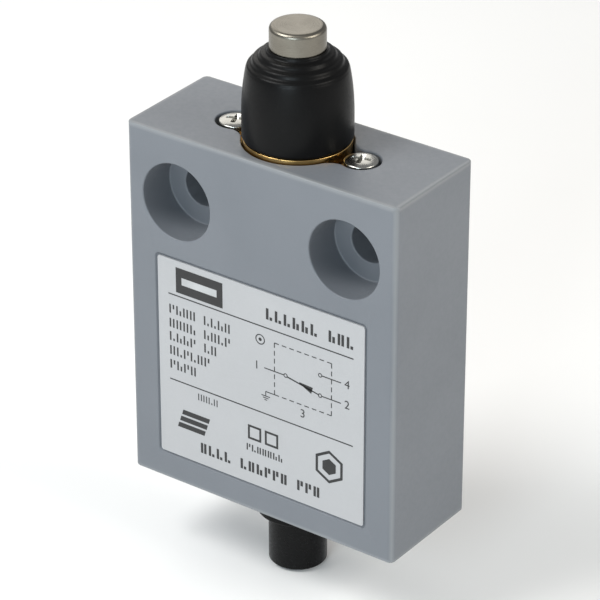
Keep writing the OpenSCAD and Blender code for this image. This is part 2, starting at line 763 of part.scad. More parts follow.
module ground_lug() {
    color([0.72, 0.72, 0.70]) difference() {
        union() {
            bar_y(ground_x, ground_z, lug_r, ground_face_y + seat_gap, ground_face_y + lug_t);
            translate([lug_barrel_x, lug_barrel_y + seat_gap, ground_z]) rotate([0, 90, 0])
                cylinder(r = lug_barrel_r, h = lug_barrel_len);
        }
        bar_y(ground_x, ground_z, ground_screw_r + drop_gap, ground_face_y - past, ground_face_y + past);
    }
}

module ground_screw() {
    length = ground_boss_h + lug_t;
    color([0.78, 0.77, 0.74]) translate([ground_x, ground_face_y + lug_t + seat_gap, ground_z])
        rotate([-90, 0, 0]) {
            pan_head(ground_head_r, ground_head_h);
            translate([0, 0, -length]) cylinder(r = ground_screw_r, h = length + seat_gap);
        }
}

housing();
back_cover();
cover_gasket();
cover_screws();
rating_plate();
flange_gasket();
plunger_bushing();
flange_screws();
boot();
plunger();
plunger_seal();
return_spring();
overtravel_spring();
inner_plunger();
switch_base();
switch_cover();
switch_button();
contact_arm();
moving_contact();
snap_spring();
com_terminal();
no_terminal();
nc_terminal();
no_contact();
nc_contact();
cable_grommet();
cable_clamp();
cable_jacket();
core_white();
core_black();
core_red();
core_ground();
ground_lug();
ground_screw();
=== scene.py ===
# %% [markdown]
# # A sealed plunger limit switch
# A limit switch tells a machine that something has arrived. A cam pushes the steel plunger down,
# a rubber boot keeps oil and dust out, and a small snap switch inside the zinc housing changes
# over. The CAD frame already holds every part at its size and place. This lesson gives the parts
# their finish: soft edges, paint, rubber, turned metal, a printed plate and a cable.
# The frame is in metres, and `mm` turns millimetres into metres. Outlines and the plate's print
# are drawn in millimetres and scaled when they become a mesh.

# %% Load the CAD frame
import json
import math
import random

import bmesh
import bpy
from mathutils import Matrix, Vector


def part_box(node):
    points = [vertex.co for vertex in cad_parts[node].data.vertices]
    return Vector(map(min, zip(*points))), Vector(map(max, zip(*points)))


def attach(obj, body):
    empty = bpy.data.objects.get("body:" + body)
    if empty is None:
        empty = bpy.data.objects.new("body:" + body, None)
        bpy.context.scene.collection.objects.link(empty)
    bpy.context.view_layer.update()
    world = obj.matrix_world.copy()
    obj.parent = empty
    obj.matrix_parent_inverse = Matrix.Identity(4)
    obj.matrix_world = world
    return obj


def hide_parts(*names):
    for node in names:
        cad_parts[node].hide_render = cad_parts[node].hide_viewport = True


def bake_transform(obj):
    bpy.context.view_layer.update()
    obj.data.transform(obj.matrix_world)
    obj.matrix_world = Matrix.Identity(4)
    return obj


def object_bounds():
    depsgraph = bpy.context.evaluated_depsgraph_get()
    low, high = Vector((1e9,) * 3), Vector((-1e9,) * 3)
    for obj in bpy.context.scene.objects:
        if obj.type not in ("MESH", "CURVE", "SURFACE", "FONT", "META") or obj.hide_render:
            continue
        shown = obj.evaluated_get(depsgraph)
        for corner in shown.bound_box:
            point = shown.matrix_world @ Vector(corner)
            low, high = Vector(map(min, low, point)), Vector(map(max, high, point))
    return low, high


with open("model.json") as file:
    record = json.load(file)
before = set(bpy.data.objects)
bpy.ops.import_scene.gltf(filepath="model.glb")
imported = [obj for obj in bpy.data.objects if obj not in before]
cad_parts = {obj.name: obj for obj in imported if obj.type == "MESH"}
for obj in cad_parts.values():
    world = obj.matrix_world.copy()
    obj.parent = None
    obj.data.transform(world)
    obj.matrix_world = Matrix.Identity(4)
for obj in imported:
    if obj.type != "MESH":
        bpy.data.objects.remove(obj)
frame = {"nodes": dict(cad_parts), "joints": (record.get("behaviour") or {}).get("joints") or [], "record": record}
cad_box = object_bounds()
mm = 0.001

# %% Measure the frame
plunger_low, plunger_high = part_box("plunger")
housing_low, housing_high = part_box("housing")
boot_low, boot_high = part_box("boot")
plate_low, plate_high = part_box("rating_plate")
axis_x = (plunger_low.x + plunger_high.x) / 2
axis_y = (plunger_low.y + plunger_high.y) / 2
travel = next(j for j in frame["joints"] if j["name"] == "plunger_travel")["range_m"][1]
print("plunger axis at", round(axis_x, 4), round(axis_y, 4), "travel", travel)

# %% [markdown]
# ## Camera and light
# A small product is shot from a distance with a long lens, so that its upright edges stay almost
# parallel. The floor is bright and the sky is dim, so paint looks even while metal and rubber
# keep dark and light stripes. Each light's `level` is how bright it makes a white card that
# faces it, which is easier to plan with than watts.

# %% Place the camera
aim_shift = Vector((-0.5, 1.13, -0.6)) * mm
look_azimuth = math.radians(36.0)
look_elevation = math.radians(29.0)
look_distance = 0.429
sensor_width = 36.0
lens_length = 208.3
box_centre = (cad_box[0] + cad_box[1]) / 2
aim = box_centre + aim_shift
to_camera = Vector((
    math.sin(look_azimuth) * math.cos(look_elevation),
    -math.cos(look_azimuth) * math.cos(look_elevation),
    math.sin(look_elevation),
))
camera = bpy.data.objects.new("camera", bpy.data.cameras.new("camera"))
bpy.context.scene.collection.objects.link(camera)
camera.location = aim + look_distance * to_camera
camera.rotation_euler = (-to_camera).to_track_quat("-Z", "Y").to_euler()
camera.data.sensor_width = sensor_width
camera.data.lens = lens_length
camera.data.clip_start = 0.01
bpy.context.scene.camera = camera
bpy.context.scene.view_settings.view_transform = "Standard"
print("camera aims at", [round(c, 4) for c in aim])


# %% Light it softly
def soft_light(name, azimuth, elevation, distance, size, level, colour):
    """A square soft light that stands round the object and faces its centre."""
    light = bpy.data.lights.new(name, "AREA")
    light.shape = "SQUARE"
    light.size = size
    light.energy = level * (math.pi * distance) ** 2
    light.color = colour
    lamp = bpy.data.objects.new(name, light)
    bpy.context.scene.collection.objects.link(lamp)
    a, e = math.radians(azimuth), math.radians(elevation)
    way = Vector((math.sin(a) * math.cos(e), -math.cos(a) * math.cos(e), math.sin(e)))
    lamp.location = box_centre + distance * way
    lamp.rotation_euler = (-way).to_track_quat("-Z", "Y").to_euler()
    return lamp


soft_light("key_light", -40, 52, 0.55, 0.26, 0.73, (1.0, 1.0, 0.98))
soft_light("front_light", 14, 18, 0.60, 0.24, 0.42, (0.80, 0.93, 1.0))
soft_light("side_light", 100, 30, 0.60, 0.30, 0.44, (1.0, 0.96, 0.88))
soft_light("back_light", 228, 30, 0.70, 0.50, 0.22, (1.0, 0.97, 0.92))
sky_level = 0.36
world = bpy.data.worlds.new("studio")
world.use_nodes = True
world.node_tree.nodes["Background"].inputs["Color"].default_value = (0.98, 0.99, 1.0, 1)
world.node_tree.nodes["Background"].inputs["Strength"].default_value = sky_level
bpy.context.scene.world = world

# %% [markdown]
# ## Finishes
# Each finish is a node material that reads Object coordinates, so its grain has a real size.
# One helper makes the parts that they share: a slow change of tone, a fine grain that moves the
# roughness a little, and a bump of a few micrometres. Each finish then adds what is its own.


# %% A node-material helper
class Finish:
    """A material with tone, grain and bump already wired; more nodes can be added to it."""

    def __init__(self, name, dark, light, rough, metal=0.0, tone_size=8.0, grain_size=0.4, bump=3.0):
        self.material = bpy.data.materials.new(name)
        self.material.use_nodes = True
        self.tree = self.material.node_tree
        self.shader = self.tree.nodes["Principled BSDF"]
        self.shader.inputs["Metallic"].default_value = metal
        self.place = self.node("ShaderNodeTexCoord").outputs["Object"]
        self.tone = self.noise(self.place, 1 / (tone_size * mm), 3)
        self.grain = self.noise(self.place, 1 / (grain_size * mm), 4)
        self.colour = self.blend(self.tone, dark, light)
        self.use_colour(self.colour)
        self.use_rough(self.spread(self.grain, rough[0], rough[1]))
        self.bump_node = self.node("ShaderNodeBump", Strength=1.0, Distance=bump * 1e-6)
        self.use_height(self.grain)
        self.tree.links.new(self.bump_node.outputs["Normal"], self.shader.inputs["Normal"])

    def node(self, kind, **values):
        """Adds a node and sets the named inputs of it."""
        made = self.tree.nodes.new(kind)
        for socket, value in values.items():
            made.inputs[socket].default_value = value
        return made

    def noise(self, vector, scale, detail):
        """Noise over a place, with its scale in cycles per metre."""
        made = self.node("ShaderNodeTexNoise", Scale=scale, Detail=detail)
        self.tree.links.new(vector, made.inputs["Vector"])
        return made.outputs["Fac"]

    def spread(self, value, low, high, start=0.3, stop=0.7):
        """Moves a value from the range start to stop into the range low to high."""
        made = self.node("ShaderNodeMapRange")
        for socket, number in (("From Min", start), ("From Max", stop), ("To Min", low), ("To Max", high)):
            made.inputs[socket].default_value = number
        self.tree.links.new(value, made.inputs["Value"])
        return made.outputs["Result"]

    def blend(self, factor, first, second, start=0.3, stop=0.7):
        """Mixes two colours, each an (r, g, b) or another node's output."""
        made = self.node("ShaderNodeMix")
        made.data_type = "RGBA"
        self.tree.links.new(self.spread(factor, 0, 1, start, stop), made.inputs["Factor"])
        for socket, value in (("A", first), ("B", second)):
            target = next(s for s in made.inputs if s.name == socket and s.type == "RGBA")
            if isinstance(value, tuple):
                target.default_value = (*value, 1)
            else:
                self.tree.links.new(value, target)
        return next(s for s in made.outputs if s.type == "RGBA")

    def maths(self, operation, first, second=None):
        """One Math node on numbers or on other nodes' outputs."""
        made = self.node("ShaderNodeMath")
        made.operation = operation
        for socket, value in zip(made.inputs, (first, second)):
            if isinstance(value, (int, float)):
                socket.default_value = value
            elif value is not None:
                self.tree.links.new(value, socket)
        return made.outputs["Value"]

    def split(self):
        """The place as three outputs: across, deep and up."""
        made = self.node("ShaderNodeSeparateXYZ")
        self.tree.links.new(self.place, made.inputs["Vector"])
        return made.outputs

    def use_colour(self, output):
        self.tree.links.new(output, self.shader.inputs["Base Color"])

    def use_rough(self, output):
        self.tree.links.new(output, self.shader.inputs["Roughness"])

    def use_height(self, output):
        self.tree.links.new(output, self.bump_node.inputs["Height"])


print("finish helper ready")


# %% [markdown]
# ### Painted zinc
# The housing is a zinc casting under satin blue-grey paint. Its edges are painted a shade lighter, a painted
# highlight of the kind a rounded edge catches, and fine dust lies in its grain. The distance to the nearest edge
# of a box is the middle one of the distances to its six faces, which a few Math nodes can find.


# %% Make the painted zinc
paint_grain = 0.55
# How far in from an edge the painted edge highlight reaches, and how ragged its border is.
edge_highlight_width = 0.35 * mm
edge_highlight_ragged = 0.5 * mm
dust_size = 0.12 * mm
dust_start, dust_stop = 0.72, 0.80


def painted_zinc():
    paint = Finish("housing_paint", (0.153, 0.166, 0.186), (0.169, 0.182, 0.203), (0.38, 0.50),
                   tone_size=14, grain_size=paint_grain, bump=5)
    paint.shader.inputs["Specular IOR Level"].default_value = 0.42
    places = paint.split()
    centre = (housing_low + housing_high) / 2
    half = (housing_high - housing_low) / 2
    gaps = []
    for axis in range(3):
        away = paint.maths("ABSOLUTE", paint.maths("SUBTRACT", places[axis], centre[axis]))
        gaps.append(paint.maths("SUBTRACT", half[axis], away))
    nearer = paint.maths("MINIMUM", gaps[0], gaps[1])
    farther = paint.maths("MAXIMUM", gaps[0], gaps[1])
    to_edge = paint.maths("MAXIMUM", nearer, paint.maths("MINIMUM", farther, gaps[2]))
    ragged = paint.maths("MULTIPLY", paint.tone, edge_highlight_ragged)
    highlight_reach = paint.maths("SUBTRACT", to_edge, ragged)
    # Painted highlight: the colour turns lighter near each edge, where a rounded edge would catch the light.
    bright = paint.blend(highlight_reach, (0.225, 0.237, 0.25), paint.colour, 0, edge_highlight_width)
    dust = paint.noise(paint.place, 1 / dust_size, 2)
    paint.use_colour(paint.blend(dust, bright, (0.23, 0.24, 0.245), dust_start, dust_stop))
    return paint.material


zinc_paint = painted_zinc()
print("made", zinc_paint.name)


# %% [markdown]
# ### Turned metal
# A lathe leaves fine rings: circles on an end face and hoops round a side. Radius plus height
# changes along both, so one noise that reads this sum draws both kinds of ring. The rings also
# stretch a highlight across themselves, which the Anisotropic input and a round tangent give.


# %% Make the turned metals
ring_stretch = 0.6


def turned_metal(name, dark, light, rough, ring_size, ring_depth):
    metal = Finish(name, dark, light, rough, metal=1.0, tone_size=3, grain_size=0.25, bump=ring_depth)
    places = metal.split()
    across = metal.maths("POWER", metal.maths("SUBTRACT", places[0], axis_x), 2)
    deep = metal.maths("POWER", metal.maths("SUBTRACT", places[1], axis_y), 2)
    radius = metal.maths("SQRT", metal.maths("ADD", across, deep))
    rings = metal.node("ShaderNodeTexNoise", Scale=1 / (ring_size * mm), Detail=3)
    rings.noise_dimensions = "1D"
    metal.tree.links.new(metal.maths("ADD", radius, places[2]), rings.inputs["W"])
    metal.use_height(rings.outputs["Fac"])
    metal.use_rough(metal.spread(rings.outputs["Fac"], rough[0], rough[1]))
    metal.shader.inputs["Anisotropic"].default_value = ring_stretch
    grooves = metal.node("ShaderNodeTangent")
    grooves.direction_type = "RADIAL"
    grooves.axis = "Z"
    metal.tree.links.new(grooves.outputs["Tangent"], metal.shader.inputs["Tangent"])
    return metal.material


turned_steel = turned_metal("turned_stainless", (0.188, 0.174, 0.147), (0.236, 0.220, 0.187),
                            (0.26, 0.38), ring_size=0.10, ring_depth=1.2)
turned_brass = turned_metal("turned_brass", (0.46, 0.29, 0.10), (0.66, 0.44, 0.18),
                            (0.15, 0.28), ring_size=0.14, ring_depth=2.0)
print("made", turned_steel.name, turned_brass.name)

# %% [markdown]
# ### Rubbers, plastics and small metals
# Black rubber is nearly all reflection: its own colour is close to black, and a low specular
# level keeps the bright floor from turning it grey. A little pale dust sits in its pores.


# %% Make the rubbers, plastics and small metals
pore_size = 0.10 * mm


def black_rubber(name, tone, rough, grain_size, bump, specular=0.24):
    made = Finish(name, (tone, tone, tone * 1.08), (tone * 1.6, tone * 1.6, tone * 1.65), rough,
                  tone_size=5, grain_size=grain_size, bump=bump)
    made.shader.inputs["Specular IOR Level"].default_value = specular
    dust = made.noise(made.place, 1 / pore_size, 2)
    made.use_colour(made.blend(dust, made.colour, (0.028, 0.028, 0.027), dust_start, dust_stop))
    return made.material


def small_metal(name, colour, rough, grain_size):
    light = tuple(min(0.95, c * 1.2) for c in colour)
    return Finish(name, colour, light, rough, metal=1.0, tone_size=1.5, grain_size=grain_size,
                  bump=1.5).material


def moulded(name, colour, rough, grain_size):
    light = tuple(min(0.95, c * 1.2 + 0.004) for c in colour)
    return Finish(name, colour, light, rough, tone_size=3, grain_size=grain_size, bump=2.5).material


boot_rubber = black_rubber("boot_rubber", 0.0030, (0.30, 0.42), 0.30, 4, specular=0.12)
grommet_rubber = black_rubber("grommet_rubber", 0.0030, (0.38, 0.52), 0.35, 3, specular=0.10)
seal_rubber = black_rubber("seal_rubber", 0.0080, (0.55, 0.70), 0.20, 5)
jacket_vinyl = black_rubber("jacket_vinyl", 0.0030, (0.24, 0.34), 0.50, 2, specular=0.15)
plated_steel = small_metal("zinc_plated_steel", (0.40, 0.395, 0.37), (0.16, 0.30), 0.18)
spring_steel = small_metal("spring_steel", (0.38, 0.38, 0.39), (0.22, 0.36), 0.12)
stamped_brass = small_metal("stamped_brass", (0.62, 0.42, 0.17), (0.24, 0.40), 0.15)
contact_bronze = small_metal("contact_bronze", (0.58, 0.31, 0.16), (0.22, 0.36), 0.12)
contact_silver = small_metal("contact_silver", (0.72, 0.71, 0.68), (0.18, 0.30), 0.10)
bare_copper = small_metal("bare_copper", (0.70, 0.33, 0.17), (0.20, 0.34), 0.06)
case_plastic = moulded("case_plastic", (0.022, 0.022, 0.024), (0.40, 0.55), 0.16)
button_plastic = moulded("button_plastic", (0.42, 0.030, 0.020), (0.28, 0.40), 0.20)
print("materials:", len(bpy.data.materials))

# %% [markdown]
# ### Core insulation and the printed plate
# The cores are coloured vinyl. The earth core is green with a yellow stripe, which a sine of a
# slanting distance gives. The plate is silver foil, brushed from side to side, under black ink.


# %% Make the core, foil and ink finishes
def striped_vinyl():
    stripe_pitch = 2.2 * mm
    stripe_slant = 0.6
    made = Finish("core_green_yellow", (0.06, 0.26, 0.03), (0.08, 0.32, 0.04), (0.26, 0.40),
                  tone_size=2, grain_size=0.25, bump=2)
    places = made.split()
    slant = made.maths("ADD", places[0], made.maths("MULTIPLY", places[2], stripe_slant))
    wave = made.maths("SINE", made.maths("MULTIPLY", slant, 2 * math.pi / stripe_pitch))
    made.use_colour(made.blend(wave, made.colour, (0.75, 0.62, 0.03), 0.2, 0.35))
    return made.material


def brushed_foil():
    hair_width = 0.07 * mm
    hair_stretch = (0.04, 1.0, 1.0)
    foil = Finish("silver_foil", (0.410, 0.412, 0.422), (0.442, 0.444, 0.454), (0.44, 0.56), metal=0.2,
                  tone_size=9, grain_size=0.5, bump=1.5)
    stretch = foil.node("ShaderNodeMapping", Scale=hair_stretch)
    foil.tree.links.new(foil.place, stretch.inputs["Vector"])
    hairs = foil.noise(stretch.outputs["Vector"], 1 / hair_width, 3)
    foil.use_height(hairs)
    foil.use_colour(foil.blend(hairs, foil.colour, (0.430, 0.434, 0.446)))
    return foil.material


core_finish = {
    "core_white": moulded("core_white", (0.66, 0.66, 0.63), (0.26, 0.40), 0.25),
    "core_black": moulded("core_black", (0.012, 0.012, 0.013), (0.26, 0.40), 0.25),
    "core_red": moulded("core_red", (0.42, 0.020, 0.016), (0.26, 0.40), 0.25),
    "core_ground": striped_vinyl(),
}
silver_foil = brushed_foil()
black_ink = moulded("black_ink", (0.012, 0.012, 0.013), (0.40, 0.54), 0.10)
white_ink = moulded("white_ink", (0.40, 0.405, 0.41), (0.40, 0.54), 0.10)
print("materials:", len(bpy.data.materials))

# %% [markdown]
# ## Shape helpers
# A CAD solid has knife-sharp edges, and a real casting never has. `softened` copies a CAD mesh,
# merges its loose triangles back into whole faces and rounds each sharp edge a little. Weighted
# normals then keep the big faces looking flat. `turned` makes a round piece from its outline, as
# a lathe does.


# %% Put a piece in the scene
def show(name, mesh, material, body, stands_for):
    """Makes a finished mesh a piece that rides on a CAD body and stands for a CAD node."""
    piece = bpy.data.objects.new(name, mesh)
    bpy.context.scene.collection.objects.link(piece)
    mesh.materials.clear()
    mesh.materials.append(material)
    if body:
        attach(piece, body)
    if stands_for:
        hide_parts(stands_for)
    return piece


def smooth(mesh, sharp):
    """Shades a mesh smoothly, but keeps a crease where its faces meet at more than an angle."""
    mesh.polygons.foreach_set("use_smooth", [True] * len(mesh.polygons))
    mesh.set_sharp_from_angle(angle=math.radians(sharp))


def flat_faces_flat(mesh):
    """Turns the normals of rounded edges to meet their big neighbours, so flat faces look flat."""
    host = bpy.data.objects.new(mesh.name + "_host", mesh)
    bpy.context.scene.collection.objects.link(host)
    weighted = host.modifiers.new("weighted", "WEIGHTED_NORMAL")
    weighted.weight = 100
    weighted.keep_sharp = True
    graph = bpy.context.evaluated_depsgraph_get()
    made = bpy.data.meshes.new_from_object(
        host.evaluated_get(graph), preserve_all_data_layers=True, depsgraph=graph)
    bpy.data.objects.remove(host)
    return made


bodies = frame["record"]["behaviour"]["bodies"]
body_of = {node: body for body, nodes in bodies.items() for node in nodes}


# %% Soften a CAD part
same_place = 1e-6
same_plane = math.radians(0.3)
on_axis = 1e-6


def softened(node, edge, material, segments=2, sharp_angle=35):
    """A copy of a CAD node with every sharp edge rounded, standing for that node."""
    mesh = frame["nodes"][node].data.copy()
    mesh.name = node + "_soft"
    bm = bmesh.new()
    bm.from_mesh(mesh)
    bmesh.ops.remove_doubles(bm, verts=bm.verts, dist=same_place)
    bmesh.ops.dissolve_limit(bm, angle_limit=same_plane, verts=bm.verts, edges=bm.edges)
    limit = math.radians(sharp_angle)
    edges = [e for e in bm.edges if len(e.link_faces) == 2 and e.calc_face_angle() > limit]
    bmesh.ops.bevel(bm, geom=edges, offset=edge, segments=segments, profile=0.5,
                    affect="EDGES", clamp_overlap=False)
    bmesh.ops.triangulate(bm, faces=[f for f in bm.faces if len(f.verts) > 4])
    bm.to_mesh(mesh)
    bm.free()
    smooth(mesh, 40)
    return show(node + "_finished", flat_faces_flat(mesh), material,
                body_of[node], node)


# %% Turn a round part from its outline
def turned(name, outline, steps=96, centre=None, sharp=50):
    """A closed mesh from an outline of (radius, height) points in mm, turned round an axis."""
    cx, cy = centre or (axis_x, axis_y)
    bm = bmesh.new()
    rings = []
    for radius, height in outline:
        count = 1 if radius < on_axis else steps
        ring = []
        for i in range(count):
            a = 2 * math.pi * i / steps
            x, y = cx + radius * mm * math.cos(a), cy + radius * mm * math.sin(a)
            ring.append(bm.verts.new((x, y, height * mm)))
        rings.append(ring)
    pairs = list(zip(rings, rings[1:]))
    if len(rings[0]) > 1:
        pairs.append((rings[-1], rings[0]))
    for low, high in pairs:
        for i in range(steps):
            j = i + 1
            corners = [low[i % len(low)], low[j % len(low)], high[j % len(high)], high[i % len(high)]]
            face = list(dict.fromkeys(corners))
            if len(face) > 2:
                bm.faces.new(face)
    bmesh.ops.recalc_face_normals(bm, faces=bm.faces)
    mesh = bpy.data.meshes.new(name)
    bm.to_mesh(mesh)
    bm.free()
    smooth(mesh, sharp)
    return mesh


def arc(centre_r, centre_z, radius, start, stop, steps=6):
    """Points (radius, height) on an arc of an outline, from one angle to another in degrees."""
    angles = [math.radians(start + (stop - start) * i / steps) for i in range(steps + 1)]
    return [(centre_r + radius * math.cos(a), centre_z + radius * math.sin(a)) for a in angles]


print("shape helpers ready")

# %% [markdown]
# ## The housing and its back cover
# The casting keeps the CAD part's holes, recesses and pocket. Its edges get a small round, so
# that they catch the light as cast and painted edges do.

# %% Round the housing and the cover
housing = softened("housing", 0.20 * mm, zinc_paint, segments=3)
back_cover = softened("back_cover", 0.12 * mm, zinc_paint)
print("housing:", len(housing.data.polygons), "faces")

# %% [markdown]
# ## The plunger and its bushing
# The plunger's tip is a turned steel disc with a polished round edge. It is turned afresh here,
# because an outline with a finer arc gives a cleaner highlight than the CAD mesh does. Its bore
# takes the overtravel spring, and its groove holds the lip of the boot.

# %% Turn the plunger
round_steps = 144
tip_r = 3.45
tip_round = 0.60
tip_z = plunger_high.z / mm
collar_z = plunger_low.z / mm
collar_r = (plunger_high.x - plunger_low.x) / 2 / mm
collar_h = 1.2
collar_edge = 0.15
groove_top = boot_high.z / mm
groove_h = 1.2
groove_r = 3.16
bore_r = 2.4
bore_z = tip_z - 8
crown_r, crown_drop = tip_r - 0.9, 0.006
plunger_outline = [
    (0, bore_z), (bore_r, bore_z), (bore_r, collar_z), (collar_r - collar_edge, collar_z),
    (collar_r, collar_z + collar_edge), (collar_r, collar_z + collar_h - collar_edge),
    (collar_r - collar_edge, collar_z + collar_h), (tip_r, collar_z + collar_h),
    (tip_r, groove_top - groove_h), (groove_r, groove_top - groove_h), (groove_r, groove_top),
    (tip_r, groove_top + 0.02)]
plunger_outline += arc(tip_r - tip_round, tip_z - tip_round, tip_round, 0, 86, 10)
plunger_outline += [(crown_r, tip_z - crown_drop), (1.0, tip_z), (0, tip_z)]
plunger = show("plunger_finished", turned("plunger_turned", plunger_outline, round_steps),
               turned_steel, "plunger", "plunger")
bushing = softened("plunger_bushing", 0.10 * mm, turned_brass)
print("plunger:", len(plunger.data.polygons), "faces")

# %% [markdown]
# ## The boot
# The boot is moulded rubber. Its foot snaps under a bead on the bushing, its wall tapers, and
# soft folds on the sloping shoulder let it give way as the plunger goes down. The outline is a
# smooth curve first. The folds are then a ripple that pushes each point of it inwards, along
# the curve's own normal, by its distance along the curve.

# %% Sizes of the boot
boot_top = boot_high.z / mm
boot_foot = boot_low.z / mm
boot_r = (boot_high.x - boot_low.x) / 2 / mm
shoulder_r = 6.25
shoulder_z = boot_top - 2.7
lip_r = 3.66
foot_round = 0.45
straight_z = boot_foot + 2.4
fold_pitch = 1.18
fold_depth = 0.17
first_fold = 0.42
wall = 0.9
thin_wall = 0.55
lip_bore = 3.2
lip_h = 1.15
foot_bore = 4.45
foot_h = 1.1


# %% Draw the boot's outline
def shoulder_curve(a):
    """A point of the shoulder: an arc that is pulled in towards a cone."""
    return (lip_r + (shoulder_r - lip_r) * math.cos(a) ** 2.2,
            shoulder_z + (boot_top - shoulder_z) * math.sin(a) ** 1.3)


def folded(points):
    """Pushes the points of a curve inwards by a ripple along its length."""
    lengths = [0.0]
    for p, q in zip(points, points[1:]):
        lengths.append(lengths[-1] + math.dist(p, q))
    total = lengths[-1]
    made = [points[0]]
    for i in range(1, len(points) - 1):
        run = lengths[i]
        dr, dz = points[i + 1][0] - points[i - 1][0], points[i + 1][1] - points[i - 1][1]
        size = math.hypot(dr, dz)
        wave = 0.5 - 0.5 * math.cos(2 * math.pi * (run - first_fold) / fold_pitch)
        fade = min(1, run / 0.5, (total - run) / 0.3)
        push = fold_depth * wave * fade
        made.append((points[i][0] - push * dz / size, points[i][1] + push * dr / size))
    return made + [points[-1]]


def boot_outline():
    """The boot's whole outline: up the outer side, over the lip and down the inner side."""
    rise = 8
    outer = arc(boot_r - foot_round, boot_foot + foot_round, foot_round, -90, 0, 6)
    outer.append((boot_r, straight_z))
    for i in range(1, rise):
        t = i / rise
        r = boot_r - (boot_r - shoulder_r) * t ** 2.4
        outer.append((r, straight_z + (shoulder_z - straight_z) * t))
    turns = [math.radians(90 * i / 72) for i in range(73)]
    outer += folded([shoulder_curve(a) for a in turns])
    inner = [(lip_bore, boot_top - 0.05), (lip_bore, boot_top - lip_h), (lip_r + 0.1, boot_top - lip_h)]
    for a in reversed(turns[12:62:10]):
        r, z = shoulder_curve(a)
        inner.append((r - thin_wall * 0.6, z - thin_wall * 0.9))
    inner += [(shoulder_r - wall, shoulder_z - 0.6), (boot_r - wall, straight_z),
              (boot_r - wall, boot_foot + foot_h + 0.1), (foot_bore, boot_foot + foot_h),
              (foot_bore, boot_foot)]
    return outer + inner


boot = show("boot_finished", turned("boot_turned", boot_outline(), 160), boot_rubber,
            None, "boot")
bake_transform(boot)
print("boot:", len(boot.data.polygons), "faces")

# %% [markdown]
# ## Screws by Geometry Nodes
# Six small screws show: two pan heads beside the boot and four countersunk heads in the back
# cover. One screw of each kind is turned and gets a cross recess, which a Boolean cuts with two
# tapered bars. A node tree then puts a copy at each place and gives each its own turn.


# %% Make one screw of each kind
recess_taper = 0.4


def screw_mesh(name, outline, recess_r, recess_half, recess_depth):
    """A screw turned round Z from (radius, height) points in mm, head up, with a cross recess."""
    top = max(z for _, z in outline)
    tool = bmesh.new()
    for turn in (0, 90):
        bar = bmesh.ops.create_cube(tool, size=1)["verts"]
        size = Matrix.Diagonal((2 * recess_r * mm, 2 * recess_half * mm, 2 * recess_depth * mm, 1))
        bmesh.ops.transform(tool, matrix=Matrix.Rotation(math.radians(turn), 4, "Z") @ size, verts=bar)
        bmesh.ops.translate(tool, vec=(0, 0, top * mm), verts=bar)
        for corner in bar:
            share = recess_taper if corner.co.z < top * mm else 2 - recess_taper
            corner.co.x *= share
            corner.co.y *= share
    tool_mesh = bpy.data.meshes.new(name + "_recess")
    tool.to_mesh(tool_mesh)
    tool.free()
    blank = bpy.data.objects.new(name + "_blank", turned(name, outline, 64, centre=(0, 0)))
    cutter = bpy.data.objects.new(name + "_cutter", tool_mesh)
    for made in (blank, cutter):
        bpy.context.scene.collection.objects.link(made)
    cut = blank.modifiers.new("recess", "BOOLEAN")
    cut.operation = "DIFFERENCE"
    cut.solver = "EXACT"
    cut.use_self = True
    cut.object = cutter
    graph = bpy.context.evaluated_depsgraph_get()
    mesh = bpy.data.meshes.new_from_object(blank.evaluated_get(graph))
    for made in (blank, cutter):
        bpy.data.objects.remove(made)
    return mesh


pan_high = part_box("flange_screws")[1]
pan_r = 2.1
pan_h = 1.5
pan_seat = pan_high.z / mm - pan_h
pan_side = 1.08
pan_edge = 0.20
shank_r = 1.0
shank_tip_r = 0.8
pan_outline = [(0, -5), (shank_tip_r, -5), (shank_r, -4.8), (shank_r, 0), (pan_r - 0.1, 0), (pan_r, 0.1)]
pan_outline += arc(pan_r - pan_edge, pan_side, pan_edge, 0, 66, 5)
pan_outline += [(pan_r - 0.55, pan_side + 0.30), (0.9, pan_h - 0.03), (0, pan_h)]
pan_screw = screw_mesh("pan_screw", pan_outline, 1.30, 0.30, 0.80)
flat_r = 1.9
flat_h = 0.93
flat_outline = [(0, -5.05), (shank_tip_r, -5.05), (shank_r, -4.85), (shank_r, 0), (flat_r, 0.86),
                (flat_r - 0.07, flat_h), (0, flat_h)]
flat_screw = screw_mesh("flat_screw", flat_outline, 1.05, 0.25, 0.60)
print("screw faces:", len(pan_screw.polygons), len(flat_screw.polygons))


# %% A node tree that sets out screws
def new_tree(name, inputs):
    """An empty tree with named inputs, a Material input and one Geometry output."""
    tree = bpy.data.node_groups.new(name, "GeometryNodeTree")
    tree.interface.new_socket("Geometry", in_out="OUTPUT", socket_type="NodeSocketGeometry")
    for label, kind in (*inputs, ("Material", "Material")):
        tree.interface.new_socket(label, in_out="INPUT", socket_type="NodeSocket" + kind)
    return tree, tree.nodes.new("NodeGroupInput"), tree.nodes.new("NodeGroupOutput")


def finish_tree(tree, given, result, geometry):
    """Ends a tree in Realize Instances and Set Material."""
    real = tree.nodes.new("GeometryNodeRealizeInstances")
    finish = tree.nodes.new("GeometryNodeSetMaterial")
    tree.links.new(geometry, real.inputs["Geometry"])
    tree.links.new(real.outputs["Geometry"], finish.inputs["Geometry"])
    tree.links.new(given.outputs["Material"], finish.inputs["Material"])
    tree.links.new(finish.outputs["Geometry"], result.inputs["Geometry"])
    return tree


